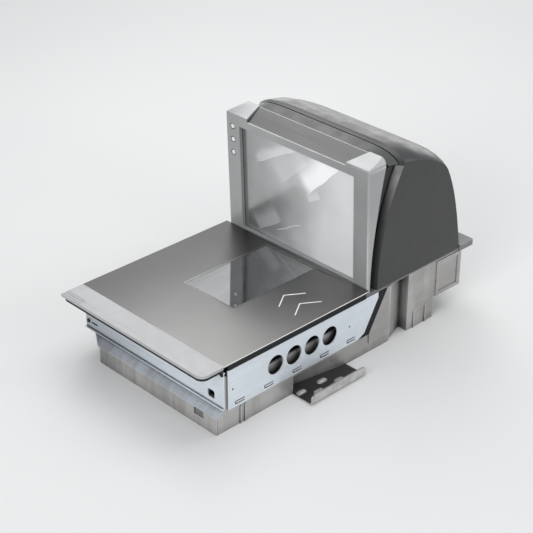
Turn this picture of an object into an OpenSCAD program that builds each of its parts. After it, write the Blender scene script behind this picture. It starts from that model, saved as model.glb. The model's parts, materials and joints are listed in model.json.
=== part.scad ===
// Flatbed (two-window) checkout scanner with a weighing deck, a leaning window tower and a drop-in cast base.
// Origin: centre of the operator's edge of the deck, at the level of the deck's top surface.
// +X is the operator's right, +Y points away from the operator, +Z is up. All sizes are in millimetres.

/* [Deck] */
// Width of the deck plate
deck_w = 292; // [288:1:296]
// Distance from the operator's edge to the foot of the tower
deck_l = 314; // [312:1:318]
// Thickness of the deck plate
deck_t = 3; // [2.5:0.5:3.5]
// Depth of the pale trim strip along the operator's edge
trim_l = 38; // [34:1:42]
// Width of the window in the deck
window_w = 96; // [86:1:104]
// Length of the window in the deck
window_l = 155; // [145:1:156]

/* [Base] */
// Length of the whole scanner
total_l = 540; // [536:1:546]
// Depth of the cast base below the deck
base_depth = 106; // [104:1:110]
// Wall thickness of the casting
cast_t = 3; // [2.5:0.5:3.5]
// Radius of the four holes in each side panel
vent_r = 14.4; // [12:0.1:15]
// Distance between neighbouring holes in a side panel
vent_pitch = 34.5; // [33:0.5:36]

/* [Tower] */
// Height of the tower's front edge above the deck
bezel_h = 178; // [172:1:182]
// Forward lean of the tower's front face, in degrees
lean = 1.9; // [1:0.1:2.5]
// Width of the opening in the tower's bezel
opening_w = 226; // [216:1:230]
// Height of the opening in the tower's bezel
opening_h = 165; // [158:1:167]

/* [Moving parts] */
// Radius of the two push buttons
button_r = 3.6; // [3:0.1:4]
// Gap around each push button and around the motor shaft
running_gap = 0.05; // [0.02:0.01:0.1]
// Number of mirror faces on the spinning polygon
polygon_faces = 4; // [3:1:6]

/* [Bracket] */
// Distance the bracket stands out from the base
bracket_reach = 40; // [36:1:44]
// Distance between the two slots in a row
slot_pitch = 40; // [36:1:42]
// Length of each slot, end to end
slot_l = 14; // [12:1:16]
// Width of each slot
slot_w = 6; // [5:0.5:7]

/* [Hidden] */
$fn = 64;
eps = 0.01;
half_w = deck_w / 2;

// deck and the weighing parts under it
plate_y = [trim_l, deck_l - 1.8];
window_y = [deck_l - 13 - window_l, deck_l - 13];
frame_border = 3;
trim_t = 4.5;
gasket_h = 8;
gasket_t = 4;
trim_corner_r = 12;
lip_h = 4;
pad_h = 5;
pad_r = 9;
weigh_t = 8;
weigh_z = [-deck_t - pad_h - weigh_t, -deck_t - pad_h];
weigh_x = 122;
weigh_bar = 16;
weigh_y = [50, 296];
cell_size = [130, 30, 22];
cell_y = 96;
cell_z = -50;
cell_end = 50;
cell_bolt_y = [-8, 8];

// base
base_z = -base_depth;
base_right = half_w - 5;
base_left = -103;
base_front = 28;
panel_y = 40;
panel_x = half_w - 3;
sheet_t = 1.5;
panel_z = [-74, -12];
side_panel_y = [47.5, 335];
waist_z = -66;
flare_z = -80;
bay_y = [362, 402];
bay_x = 125;
bay_front_x = 139;
block_end = 459;
cast_end = 517;
rear_floor = -72;
wall_top = -44;
seat_z = -12;
cover_z = [-22, -20.5];
vent_z = -41.7;
vent_y = 134;
panel_bolt_y = [56, 277];
panel_bolt_z = -44;
port_z = [-69, -54];

// bracket
bracket_t = 2.5;
bracket_bend_r = 6;
flange_h = 17;
flange_corner_r = 7;
bracket_in = [104, base_right];
bracket_y = [166, 272];
bracket_pad_y = [158, 276];
bracket_screw_at = [[112, 176], [112, 256]];
slot_rows = [[base_right + 8.5, 197], [base_right + 23, 216]];
slot_at = [for (row = slot_rows, side = [-0.5, 0.5]) [row[0], row[1] + side * slot_pitch]];

// tower
plate_top = -8;
bezel_half = 141;
bezel_skin = 3;
glass_depth = 5.5;
glass_t = 4;
sill_h = 1.5;
glass_span = [-1, opening_h + 5];
inlay_half = 97;
inlay_flare = 11;
inlay_slope = 14.5;
inlay_span = [1.5, 37];
inlay_t = 1;
shoulder_h = bezel_h + 5;
bezel_crest = bezel_h + 11;
hood_half = 143;
hood_skin = 3;
hood_rear = 510;
crown = 15;
ring_crown = 8;
button_x = -127;
button_h = [163, 142, 121];
button_l = 6;
collar_r = 5;
// front curves of the ring's lip, its joint with the hood, the crease on the hood's flank and the two ends
// of the ring's tongue: foot, sweep back at the top, height and half width
ring_lip = [325, 27, 176, 137];
hood_joint = [329, 43, 174, 138];
hood_crease = [332, 47, 174, 143];
tongue_back = [327.5, 27, 180, 136];
tongue_front = [318.2, 21, 180, 136];
ring_gap = 0.6;
// back of the hood, from the top over the shoulder and down to the shelf, as [y, z]
hood_back = [[405, 169], [426, 161.5], [447, 152], [468, 139], [481, 114.5], [491, 86], [499, 54], [505, 23],
    [hood_rear, plate_top]];
hood_bolt_at = [[-128, 488], [-128, 352], [128, 352], [128, 488]];

// optics and electronics
board_t = 1.6;
board_z = base_z + 10;
board_post_at = [[-90, 52], [-90, 138], [120, 52], [120, 138]];
scale_board_z = -62;
floor_z = base_z + cast_t;
spinner = [20, 388, -62];
shaft_r = 3;
polygon_r = 24;
polygon_h = 16;
mirror_t = 3;
mirror_tilt = 42;
side_mirror = [70, 210, -58];
near_mirror = [0, 172, -60];
far_mirror = [0, 290, -62];
tray_z = floor_z + 2;

// ---------- shared shapes ----------

// solid between a low and a high limit on each axis
module block(x, y, z) {
    translate([x[0], y[0], z[0]]) cube([x[1] - x[0], y[1] - y[0], z[1] - z[0]]);
}

// flat outline between limits, with round corners
module round_rect(x, y, r) {
    translate([x[0] + r, y[0]]) square([x[1] - x[0] - 2 * r, y[1] - y[0]]);
    translate([x[0], y[0] + r]) square([x[1] - x[0], y[1] - y[0] - 2 * r]);
    for (cx = [x[0] + r, x[1] - r], cy = [y[0] + r, y[1] - r]) translate([cx, cy]) circle(r);
}

// plate with round vertical edges
module plate(x, y, z, r) {
    translate([0, 0, z[0]]) linear_extrude(z[1] - z[0]) round_rect(x, y, r);
}

// prism along X from an outline drawn as [y, z]
module along_x(x) {
    translate([x[0], 0, 0]) rotate([90, 0, 90]) linear_extrude(x[1] - x[0]) children();
}

// prism along Y from an outline drawn as [x, z]
module along_y(y) {
    translate([0, y[1], 0]) rotate([90, 0, 0]) linear_extrude(y[1] - y[0]) children();
}

// the children and their mirror image across the centre plane
module both_sides() {
    children();
    mirror([1, 0, 0]) children();
}

// coordinates of the leaning front face: X across, Y into the tower, Z up the face
module leaned() {
    translate([0, deck_l, 0]) rotate([lean, 0, 0]) children();
}

// pan-head screw along +Z, head on top at z = 0
module screw(head_r, head_h, shank_r, shank_l) {
    difference() {
        union() {
            cylinder(h = head_h, r = head_r);
            translate([0, 0, -shank_l]) cylinder(h = shank_l + eps, r = shank_r);
        }
        for (turn = [0, 90]) {
            rotate([0, 0, turn]) block([-head_r * 0.6, head_r * 0.6], [-0.4, 0.4],
                [head_h / 2, head_h * 1.5]);
        }
    }
}

// rubber or glass slab with a window cut through it
module frame_slab(x, y, z, border) {
    difference() {
        block(x, y, z);
        block(x + [border, -border], y + [border, -border], z + [-1, 1]);
    }
}

// ---------- deck, which lifts off ----------

// one engraved arrow stroke pair that points to -X
module chevron(x, y) {
    arm = [17, 26];
    line = 1.6;
    translate([x, y, -0.4]) linear_extrude(1) for (side = [-1, 1]) {
        polygon([[0, 0], [arm[0], side * arm[1]], [arm[0] + line, side * arm[1]], [line, 0]]);
    }
}

module deck_plate() {
    color("silver") difference() {
        block([-half_w, half_w], plate_y, [-deck_t, 0]);
        plate([-window_w / 2 - frame_border, window_w / 2 + frame_border],
            [window_y[0] - frame_border, window_y[1] + frame_border], [-deck_t - 1, 1], 2);
        chevron(70.5, 219);
        chevron(101.5, 219);
    }
}

module window_frame() {
    inner_x = window_w / 2;
    color("gainsboro") difference() {
        plate([-inner_x - frame_border, inner_x + frame_border],
            [window_y[0] - frame_border, window_y[1] + frame_border], [-6, 0], 2);
        block([-inner_x, inner_x], window_y, [-4.2, 1]);
        block([-inner_x + 2.5, inner_x - 2.5], window_y + [2.5, -2.5], [-7, 1]);
    }
}

module deck_glass() {
    color("lightblue", 0.5) block([-window_w / 2, window_w / 2], window_y, [-4.2, -0.2]);
}

// pale strip along the operator's edge, with three finger-grip ribs at its left end
module deck_trim() {
    rib_x = [-half_w + 2, -half_w + 40];
    color("whitesmoke") difference() {
        union() {
            translate([0, 0, -trim_t]) linear_extrude(trim_t) difference() {
                translate([-half_w, 0]) square([deck_w, trim_l]);
                translate([half_w - trim_corner_r, 0]) difference() {
                    square([trim_corner_r + 1, trim_corner_r]);
                    translate([0, trim_corner_r]) circle(trim_corner_r);
                }
            }
            block([-half_w + 8, half_w - 8], [trim_l - 1, trim_l + 8], [-trim_t, -deck_t]);
        }
        for (y = [3, 7.5, 12]) block(rib_x, [y - 0.7, y + 0.7], [-0.8, 1]);
    }
}

// black rubber band under the rim of the deck
module deck_gasket() {
    color("black") {
        both_sides() block([half_w - 1 - gasket_t, half_w - 1], [trim_l + 10, plate_y[1] - 5],
            [-deck_t - gasket_h, -deck_t]);
        difference() {
            plate([-half_w + 1, half_w - 1], [1, trim_l + 2], [-trim_t - lip_h, -trim_t], trim_corner_r - 1);
            plate([-half_w + 1 + gasket_t, half_w - 1 - gasket_t], [1 + gasket_t, trim_l + 10],
                [-trim_t - lip_h - 1, -trim_t + 1], trim_corner_r - 1 - gasket_t);
        }
    }
}

// ---------- weighing frame ----------

module weigh_frame() {
    inner = weigh_x - weigh_bar;
    color("dimgray") difference() {
        union() {
            both_sides() block([inner, weigh_x], weigh_y, weigh_z);
            block([-weigh_x, weigh_x], [weigh_y[0], weigh_y[0] + weigh_bar], weigh_z);
            block([-weigh_x, weigh_x], [120, 120 + weigh_bar], weigh_z);
            block([cell_end - 15, cell_end + 15], [weigh_y[0], 120 + weigh_bar], weigh_z);
            translate([cell_end, cell_y, cell_z + cell_size[2]])
                cylinder(h = weigh_z[0] - cell_z - cell_size[2] + eps, r = 13);
        }
        for (x = [-weigh_x + 8, weigh_x - 8], y = [80, 160, 220]) {
            translate([x, y, weigh_z[0] - 1]) cylinder(h = weigh_t + 2, r = 4);
        }
    }
}

module platter_pads() {
    color("black") for (x = [-1, 1], y = [60, 286]) {
        translate([x * (weigh_x - 8), y, weigh_z[1]]) cylinder(h = pad_h, r = y == 60 ? pad_r : pad_r - 2);
    }
}

// aluminium bar with a double-hole flexure, fixed at -X and loaded at +X
module load_cell() {
    flexure_r = 7;
    half = cell_size / 2;
    color("silver") translate([0, cell_y, cell_z]) difference() {
        block([-half[0], half[0]], [-half[1], half[1]], [0, cell_size[2]]);
        along_y([-cell_size[1], cell_size[1]]) {
            for (x = [-14, 14]) translate([x, cell_size[2] / 2]) circle(flexure_r);
            translate([-14, cell_size[2] / 2 - 3]) square([28, 6]);
        }
        for (y = cell_bolt_y) translate([-cell_end, y, -1]) cylinder(h = cell_size[2] + 2, r = 3.2);
    }
}

module load_cell_screws() {
    color("gray") for (y = cell_bolt_y) {
        translate([-cell_end, cell_y + y, cell_z + cell_size[2]]) screw(5, 4, 3, 30);
    }
}

// ---------- base ----------

// outside of the lower tub, shrunk by inset on every wall
module tub(inset, floor_z, top_z) {
    intersection() {
        along_x([-half_w, half_w]) polygon([
            [panel_y + 3 + inset, top_z], [panel_y + 3 + inset, waist_z - 4], [base_front + inset, flare_z],
            [base_front + inset, floor_z], [block_end - inset, floor_z], [block_end - inset, top_z]]);
        along_y([0, total_l]) difference() {
            polygon([[-base_right + inset, top_z], [-base_right + inset, waist_z],
                [base_left + inset, flare_z - 2], [base_left + inset, floor_z],
                [base_right - inset, floor_z], [base_right - inset, top_z]]);
            translate([-base_right + inset - 6, flare_z]) circle(16);
        }
    }
}

// slanted land on the side of the casting, behind the side panel
module slanted_land() {
    along_x([base_right - eps, panel_x]) polygon([[355, panel_z[1]], [319, panel_z[0]], [319, -90],
        [bay_y[0], -90], [bay_y[0], panel_z[1]]]);
}

// rail, end posts and screw boss that carry a side panel and the cover
module side_rail() {
    block([131, 131 + cast_t], [58, 300], [waist_z - cast_t, wall_top]);
    block([120, base_right], [46, 60], [waist_z - cast_t, cover_z[0]]);
    block([base_right - cast_t, base_right], [296, bay_y[0]], [waist_z - cast_t, seat_z]);
    block([120, base_right], [296, 307], [waist_z - cast_t, cover_z[0]]);
    block([133, base_right], [272, 282], [waist_z - cast_t, wall_top + 6]);
}

// open-topped tub with a stepped floor: deep in front and in the middle, shallow at the far end
module tub_walls() {
    inner_front = panel_y + 3 + cast_t;
    difference() {
        tub(0, base_z, waist_z);
        tub(cast_t, floor_z, waist_z + 1);
    }
    difference() {
        block([-base_right, base_right], [panel_y + 3, bay_y[0]], [waist_z - cast_t, waist_z]);
        block([base_left + cast_t, base_right - cast_t], [inner_front, bay_y[0] + 1],
            [waist_z - cast_t - 1, waist_z + 1]);
    }
    difference() {
        block([-base_right, base_right], [bay_y[0] - cast_t, cast_end], [rear_floor, seat_z]);
        block([-base_right + cast_t, base_right - cast_t], [bay_y[0] - cast_t - 1, cast_end - cast_t],
            [rear_floor + cast_t, seat_z + 1]);
        block([base_left + cast_t, base_right - cast_t], [bay_y[0] - cast_t - 1, block_end - cast_t],
            [rear_floor - 1, seat_z + 1]);
    }
    block([-base_right, base_right], [panel_y + 3, inner_front], [waist_z - cast_t, seat_z - 8]);
}

// walls of the recess in each flank, which reach the floor on the right only
module bay_walls(bottom) {
    block([bay_x - cast_t, bay_x], bay_y + [-cast_t, cast_t], [bottom, seat_z]);
    block([bay_x - cast_t, base_right], [bay_y[0] - cast_t, bay_y[0]], [bottom, seat_z]);
    block([bay_x - cast_t, base_right], [bay_y[1], bay_y[1] + cast_t], [bottom, seat_z]);
    translate([0, 0, bottom]) linear_extrude(seat_z - bottom)
        polygon([[bay_x - eps, bay_y[0] - eps], [bay_front_x, bay_y[0] - eps], [bay_x, bay_y[1] + eps],
            [bay_x - eps, bay_y[1] + eps]]);
}

// raised border around the shallow far end of each flank
module end_frame() {
    along_x([base_right - eps, base_right + 1.5]) difference() {
        translate([block_end + 4, rear_floor]) square([cast_end - block_end - 4, seat_z - rear_floor - 2]);
        translate([block_end + 9, rear_floor + 6]) square([cast_end - block_end - 16, 46]);
    }
}

module base_bosses() {
    block([-64, -36], [cell_y - 15, cell_y + 15], [floor_z - 1, cell_z]);
    block([bracket_in[0] - 4, base_right], bracket_pad_y, [floor_z - 1, -92]);
    block([120, base_right], bracket_pad_y, [floor_z - 1, panel_z[0] - 2]);
    for (p = board_post_at) translate([p[0], p[1], floor_z - 1]) cylinder(h = board_z - floor_z + 1, r = 4);
    for (y = [70, 78, 415, 440]) {
        block([base_right - eps, base_right + 1.5], [y, y + 2.5], [base_z, panel_z[0] - 4]);
    }
}

module base_casting() {
    color("tan") difference() {
        union() {
            tub_walls();
            bay_walls(base_z);
            mirror([1, 0, 0]) bay_walls(rear_floor);
            both_sides() side_rail();
            both_sides() slanted_land();
            both_sides() end_frame();
            base_bosses();
        }
        both_sides() translate([0, 0, base_z - 1]) linear_extrude(seat_z - base_z + 2)
            polygon([[bay_front_x, bay_y[0]], [half_w, bay_y[0]], [half_w, bay_y[1]], [bay_x, bay_y[1]]]);
        wedge_recess();
        block([97, 116], [base_front - 1, base_front + 1.5], [-91, -80]);
        block([111, 126], [panel_y + 2, panel_y + 15], [-62, -48]);
        block([-114, 114], [cast_end - cast_t - 1, cast_end + 1], port_z + [-1, 1]);
        block([bracket_in[0], half_w], bracket_y + [-0.5, 0.5], [base_z - 1, base_z + bracket_t]);
        for (y = cell_bolt_y) translate([-cell_end, cell_y + y, cell_z - 12]) cylinder(h = 20, r = 3.05);
        for (p = bracket_screw_at) translate([p[0], p[1], base_z - 1]) cylinder(h = 12, r = 2.05);
        both_sides() for (y = panel_bolt_y) {
            translate([base_right - 6, y, panel_bolt_z]) rotate([0, 90, 0]) cylinder(h = 10, r = 1.05);
        }
    }
}

// wedge-shaped pocket low in the right wall, over the bracket
module wedge_recess() {
    translate([0, 0, base_z + bracket_t]) linear_extrude(panel_z[0] - 4 - base_z - bracket_t)
        polygon([[base_right + 1, 169], [base_right - 16, 169], [base_right + 1, 268]]);
}

// slot that leaves a tongue in the sheet
module tab_slot() {
    difference() {
        square([17, 5.4]);
        translate([1.6, 1.6]) square([17, 2.2]);
    }
}

// side panel: folded sheet with four large holes, two small ones and tab slots along its foot
module side_panel() {
    tail = side_panel_y[1];
    color("lightsteelblue") difference() {
        along_x([panel_x - sheet_t, panel_x]) difference() {
            polygon([[side_panel_y[0], panel_z[1]], [tail, panel_z[1]], [tail, -21], [308, -68],
                [295, panel_z[0]], [side_panel_y[0], panel_z[0]]]);
            for (i = [0:3]) translate([vent_y + i * vent_pitch, vent_z]) circle(vent_r);
            for (y = panel_bolt_y) translate([y, panel_bolt_z]) circle(1.4);
            for (i = [0:4]) translate([60 + i * 53, panel_z[0] + 3.6]) tab_slot();
        }
    }
    color("lightsteelblue") block([base_right, panel_x - sheet_t + eps], [side_panel_y[0], 290],
        [panel_z[0], panel_z[0] + 3]);
}

module right_side_panel() {
    side_panel();
}

module left_side_panel() {
    mirror([1, 0, 0]) side_panel();
}

module front_panel() {
    color("lightsteelblue") difference() {
        union() {
            block([-half_w, panel_x], [panel_y, panel_y + sheet_t], [-68, -14]);
            block([-half_w, panel_x], [panel_y, panel_y + 3], [-14, -14 + sheet_t]);
            block([-half_w, panel_x], [panel_y - 3, panel_y + sheet_t], [-68 - sheet_t, -68]);
        }
        along_y([panel_y - 5, panel_y + 3]) {
            round_rect([112, 125], [-61, -49], 2.5);
            round_rect([-half_w + 12, -half_w + 26], [-60, -57], 1.4);
        }
        translate([-half_w + 6, panel_y - 1, -58]) rotate([-90, 0, 0]) cylinder(h = 4, r = 1.6);
    }
}

// rubber strips that fill the slanted gap between each side panel and the casting
module panel_edge_seals() {
    color("black") both_sides() along_x([base_right, base_right + 1.2]) polygon([[335.5, -13], [353.5, -13],
        [317.5, -75], [296, -75], [309, -68.5], [335.5, -21.5]]);
}

module panel_screws() {
    color("gray") {
        translate([-half_w + 6, panel_y, -58]) rotate([90, 0, 0]) screw(2.8, 1.6, 1.5, 2.9);
        both_sides() for (y = panel_bolt_y) translate([base_right, y, panel_bolt_z]) rotate([0, 90, 0]) {
            translate([0, 0, -5]) cylinder(h = 6, r = 1);
            cylinder(h = 1.6, r = 1.35);
        }
    }
}

module corner_plugs() {
    color("black") for (x = [-1, 1]) {
        translate([x * (panel_x - 3.5), panel_y - 1, -15.5]) rotate([-90, 0, 0]) cylinder(h = 1, r = 3.4);
    }
}

// folded steel bracket with two rows of slots and an upturned outer edge with round corners
module mounting_bracket() {
    outer = base_right + bracket_reach;
    bend = [outer - bracket_bend_r, base_z + bracket_bend_r];
    color("dimgray") difference() {
        union() {
            block([bracket_in[0], bend[0]], bracket_y, [base_z, base_z + bracket_t]);
            along_y(bracket_y) intersection() {
                translate(bend) difference() {
                    circle(bracket_bend_r);
                    circle(bracket_bend_r - bracket_t);
                }
                translate([bend[0] - eps, base_z]) square([bracket_bend_r + eps, bracket_bend_r + eps]);
            }
            along_x([outer - bracket_t, outer]) intersection() {
                round_rect(bracket_y, [base_z - bracket_bend_r, base_z + flange_h], flange_corner_r);
                translate([bracket_y[0], bend[1]]) square([bracket_y[1] - bracket_y[0], flange_h]);
            }
            for (p = slot_at) translate([p[0], p[1], base_z + bracket_t])
                linear_extrude(0.8) slot_outline(slot_w + 3, slot_l + 3);
        }
        for (p = slot_at) translate([p[0], p[1], base_z - 1]) linear_extrude(6) slot_outline(slot_w, slot_l);
        for (p = bracket_screw_at) translate([p[0], p[1], base_z - 1]) {
            cylinder(h = 6, r = 2.2);
            cylinder(h = 2.5, r = 4.2);
        }
    }
}

// slot along Y, centred
module slot_outline(w, l) {
    square([w, l - w], center = true);
    for (side = [-1, 1]) translate([0, side * (l - w) / 2]) circle(w / 2);
}

module bracket_screws() {
    color("gray") for (p = bracket_screw_at) translate([p[0], p[1], base_z + 1.5]) {
        translate([0, 0, -1.4]) cylinder(h = 1.4, r = 4);
        cylinder(h = 8, r = 2);
    }
}

// sheet that closes the tub under the weighing frame
module optics_cover() {
    color("dimgray") difference() {
        block([-130, 130], [47, deck_l - 6], cover_z);
        block([-53, 53], window_y + [-5, 1], cover_z + [-1, 1]);
        translate([cell_end, cell_y, cover_z[0] - 1]) cylinder(h = 4, r = 16);
        for (y = cell_bolt_y) translate([-cell_end, cell_y + y, cover_z[0] - 1]) cylinder(h = 4, r = 6);
    }
}

module inner_window() {
    color("lightblue", 0.5) block([-57, 57], window_y + [-9, 5], [cover_z[0] - 5, cover_z[0] - 2]);
}

module inner_window_seal() {
    color("black") frame_slab([-57, 57], window_y + [-9, 5], [cover_z[0] - 2, cover_z[0]], 4);
}

module bubble_level() {
    color("yellowgreen") translate([-88, 84, -20.5]) {
        cylinder(h = 4, r = 9);
        cylinder(h = 7, r = 7);
    }
}

// ---------- electronics ----------

module main_board() {
    color("darkgreen") difference() {
        block([-98, 128], [46, 148], [board_z, board_z + board_t]);
        for (p = board_post_at) translate([p[0], p[1], board_z - 1]) cylinder(h = 4, r = 1.8);
        block([-68, -32], [cell_y - 19, cell_y + 19], [board_z - 1, board_z + 3]);
    }
}

// processor with its heat sink, memory, capacitors and board headers
module board_components() {
    top = board_z + board_t;
    color("dimgray") {
        block([20, 56], [84, 120], [top, top + 3]);
        for (i = [0:5]) block([22 + i * 6, 24 + i * 6], [86, 118], [top + 3 - eps, top + 14]);
        for (x = [70, 90]) block([x, x + 14], [90, 110], [top, top + 2]);
        for (i = [0:3]) translate([-20 + i * 11, 60, top]) cylinder(h = 12, r = 4);
        block([70, 110], [56, 64], [top, top + 8]);
        block([-90, -70], [120, 128], [top, top + 8]);
    }
}

// amplifier board of the scale, on four spacers over the main board
module scale_board() {
    spacer_h = scale_board_z - board_z - board_t;
    color("darkgreen") {
        block([66, 118], [70, 126], [scale_board_z, scale_board_z + board_t]);
        for (x = [70, 114], y = [74, 122]) {
            translate([x, y, board_z + board_t]) cylinder(h = spacer_h + eps, r = 2.5);
        }
    }
}

module speaker() {
    rim_r = 10;
    color("black") translate([-72, base_front + cast_t + 1, floor_z + rim_r + 1]) rotate([-90, 0, 0]) {
        cylinder(h = 4, r = rim_r);
        cylinder(h = 11, r = 7);
    }
}

// flat cable from the weigh cell down to the scale board
module sensor_cable() {
    start_x = cell_size[0] / 2;
    land_z = scale_board_z + board_t;
    color("lightgray") along_y([cell_y - 5, cell_y + 5]) polygon([[start_x, -40], [start_x + 6, -40],
        [start_x + 12, -46], [start_x + 12, land_z], [start_x + 10.8, land_z],
        [start_x + 10.8, -45.4], [start_x + 5.5, -41.2], [start_x, -41.2]]);
}

// row of sockets in the far wall of the base
module interface_ports() {
    color("black") difference() {
        block([-112, 112], [492, cast_end - 0.5], port_z);
        for (i = [-3:3]) block([i * 30 - 9, i * 30 + 9], [cast_end - 16, cast_end], port_z + [3, -3]);
    }
}

// ---------- optics ----------

module laser_module() {
    color("goldenrod") {
        translate([-60, 372, spinner[2]]) rotate([0, 90, 12]) {
            cylinder(h = 34, r = 8);
            translate([0, 0, 34 - eps]) cylinder(h = 4, r = 5);
        }
        block([-60, -40], [366, 384], [floor_z, spinner[2] - 7]);
    }
}

module spinner_motor() {
    can_top = spinner[2] - 8;
    color("dimgray") translate([spinner[0], spinner[1], 0]) {
        translate([0, 0, floor_z]) cylinder(h = can_top - floor_z, r = 20);
        translate([0, 0, can_top - eps]) cylinder(h = polygon_h + 10, r = shaft_r);
    }
}

module mirror_polygon() {
    color("gainsboro") translate(spinner) difference() {
        translate([0, 0, -6]) union() {
            cylinder(h = polygon_h, r = polygon_r, $fn = polygon_faces);
            cylinder(h = polygon_h + 2, r = 9);
        }
        translate([0, 0, -8]) cylinder(h = polygon_h + 6, r = shaft_r + running_gap);
    }
}

// mirror whose plate tilts about Y: its middle is at pos, and it faces +X and up when tilt is positive
module side_tilted(pos, tilt, w, l, t) {
    translate(pos) rotate([0, tilt, 0]) block([-w / 2, w / 2], [-l / 2, l / 2], [-t, 0]);
}

// mirror whose plate tilts about X: its face looks along -Y and up when tilt is positive
module end_tilted(pos, tilt, w, l, t) {
    translate(pos) rotate([tilt, 0, 0]) block([-w / 2, w / 2], [-l / 2, l / 2], [-t, 0]);
}

// four mirrors under the deck window
module lower_mirrors() {
    color("lightgray") {
        both_sides() side_tilted(side_mirror, -mirror_tilt, 42, 110, mirror_t);
        end_tilted(near_mirror, -mirror_tilt, 80, 42, mirror_t);
        end_tilted(far_mirror, mirror_tilt, 70, 40, mirror_t);
    }
}

// outline of a rest whose top slopes under a mirror; climb is 1 where it rises with the first coordinate
function rest_outline(middle, face_z, climb) =
    let (half = 15.8,
        rise = climb * half * tan(mirror_tilt),
        top = face_z - mirror_t / cos(mirror_tilt) - 0.1)
    [[middle - half, tray_z - eps], [middle - half, top - rise], [middle + half, top + rise],
        [middle + half, tray_z - eps]];

// moulded tray with sloping rests under every lower mirror
module optics_chassis() {
    rib = 4;
    color("dimgray") {
        block([-92, 92], [150, 312], [floor_z, tray_z]);
        both_sides() {
            for (y = [170, 246]) along_y([y, y + rib])
                polygon(rest_outline(side_mirror[0], side_mirror[2], 1));
            along_x([20, 20 + rib]) {
                polygon(rest_outline(near_mirror[1], near_mirror[2], -1));
                polygon(rest_outline(far_mirror[1], far_mirror[2], 1));
            }
        }
    }
}

// two upright mirrors, with a high and a low one between the cheeks of the tower frame
module tower_mirrors() {
    color("lightgray") {
        both_sides() translate([90, 420, 24]) rotate([0, 0, 32]) block([-mirror_t, 0], [-46, 46], [0, 80]);
        end_tilted([0, 400, 132], 128, 236, 50, mirror_t);
        end_tilted([0, 380, 6], 40, 236, 40, mirror_t);
    }
}

// concave dish on a stem, which gathers the light that comes back
module collector_mirror() {
    color("gainsboro") {
        translate([20, 440, -60]) rotate([70, 0, 0]) rotate_extrude()
            polygon([[0, 0], [10, 0.8], [18, 2.8], [24, 5], [24, 8], [0, 3]]);
        block([17, 23], [433, 439], [floor_z, -72]);
    }
}

module detector_board() {
    color("darkgreen") {
        block([-30, 30], [340, 342], [floor_z, -40]);
        block([-8, 8], [342 - eps, 345], [-70, -56]);
    }
}

// ---------- tower ----------

// shelf that closes the back half of the base and shows behind the hood
module rear_deck_plate() {
    color("gray") difference() {
        union() {
            block([-base_right, base_right], [309, cast_end], [seat_z, plate_top]);
            plate([-half_w, half_w], [hood_rear + 1, total_l], [seat_z, -3.5], 3);
        }
        block([-118, 118], [334, 480], [seat_z - 1, plate_top + 1]);
        for (p = hood_bolt_at) translate([p[0], p[1], seat_z - 1]) cylinder(h = 6, r = 1.8);
    }
}

// two cheeks joined by a back plate and a beam
module tower_frame() {
    cheek_x = [119, 122];
    color("dimgray") difference() {
        union() {
            both_sides() along_x(cheek_x) polygon([[336, plate_top], [474, plate_top], [462, 90],
                [440, 130], [392, 156], [352, 130]]);
            block([-cheek_x[1], cheek_x[1]], [474 - eps, 477], [plate_top, 60]);
            block([-cheek_x[1], cheek_x[1]], [474 - eps, 484], [plate_top, plate_top + 3]);
            block([-cheek_x[1], cheek_x[1]], [436, 448], [116, 119]);
        }
        along_x([-130, 130]) for (z = [40, 80]) translate([360, z]) circle(9);
    }
}

// side outline of the bezel: front face, sloping top and a rear edge that sweeps back as it rises
function bezel_outline(front_h) = concat([[0, plate_top], [0, front_h - 3], [1, front_h]],
    [for (i = [12:-1:0]) let (t = i / 12, rise = bezel_crest - plate_top)
        [4 + 6 * t + 27 * t * t, plate_top + t * rise]]);

// closed block with the bezel's outside shape
module bezel_body(half, top_r, front_h) {
    flare = 3;
    front_r = 3;
    top_h = bezel_crest - top_r;
    intersection() {
        along_x([-half - flare, half + flare]) polygon(bezel_outline(front_h));
        along_y([-5, 45]) {
            polygon([[-half - flare, plate_top], [half + flare, plate_top], [half, top_h],
                [half - top_r, bezel_crest], [top_r - half, bezel_crest], [-half, top_h]]);
            for (side = [-1, 1]) translate([side * (half - top_r), top_h]) circle(top_r);
        }
        translate([0, 0, plate_top - 5]) linear_extrude(bezel_crest + 20) {
            polygon([[front_r - half, 0], [half - front_r, 0], [half, front_r], [half + flare, 45],
                [-half - flare, 45], [-half, front_r]]);
            for (side = [-1, 1]) translate([side * (half - front_r), front_r]) circle(front_r);
        }
    }
}

// moves the children onto the sloping top of the header, with Y up the slope
module on_top_slope() {
    leaned() translate([0, 0, bezel_h]) rotate([inlay_slope, 0, 0]) children();
}

// outline on the header between two depths, wider towards the back
module header_outline(span) {
    function half_at(y) = inlay_half + inlay_flare * y / inlay_span[1];
    polygon([[-half_at(span[0]), span[0]], [half_at(span[0]), span[0]], [half_at(span[1]), span[1]],
        [-half_at(span[1]), span[1]]]);
}

module bezel() {
    half_open = opening_w / 2;
    open_z = [sill_h, sill_h + opening_h];
    rim = 3;
    color("darkgray") difference() {
        leaned() union() {
            difference() {
                bezel_body(bezel_half, 13, shoulder_h);
                translate([0, bezel_skin, -bezel_skin]) bezel_body(bezel_half - bezel_skin, 10, bezel_h);
            }
            block([-half_open - rim, half_open + rim], [1, glass_depth], [-4, open_z[1] + rim]);
            for (h = button_h) translate([button_x, bezel_skin - 1, h - 10.5]) rotate([-90, 0, 0])
                cylinder(h = 8, r = 2);
        }
        leaned() block([-half_open, half_open], [-10, 20], open_z);
        leaned() for (h = button_h) translate([button_x, -1, h]) rotate([-90, 0, 0])
            cylinder(h = 12, r = collar_r);
        on_top_slope() linear_extrude(12) header_outline([-4, 42]);
        on_top_slope() translate([0, 0, -inlay_t]) linear_extrude(inlay_t + 1) header_outline(inlay_span);
    }
}

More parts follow.
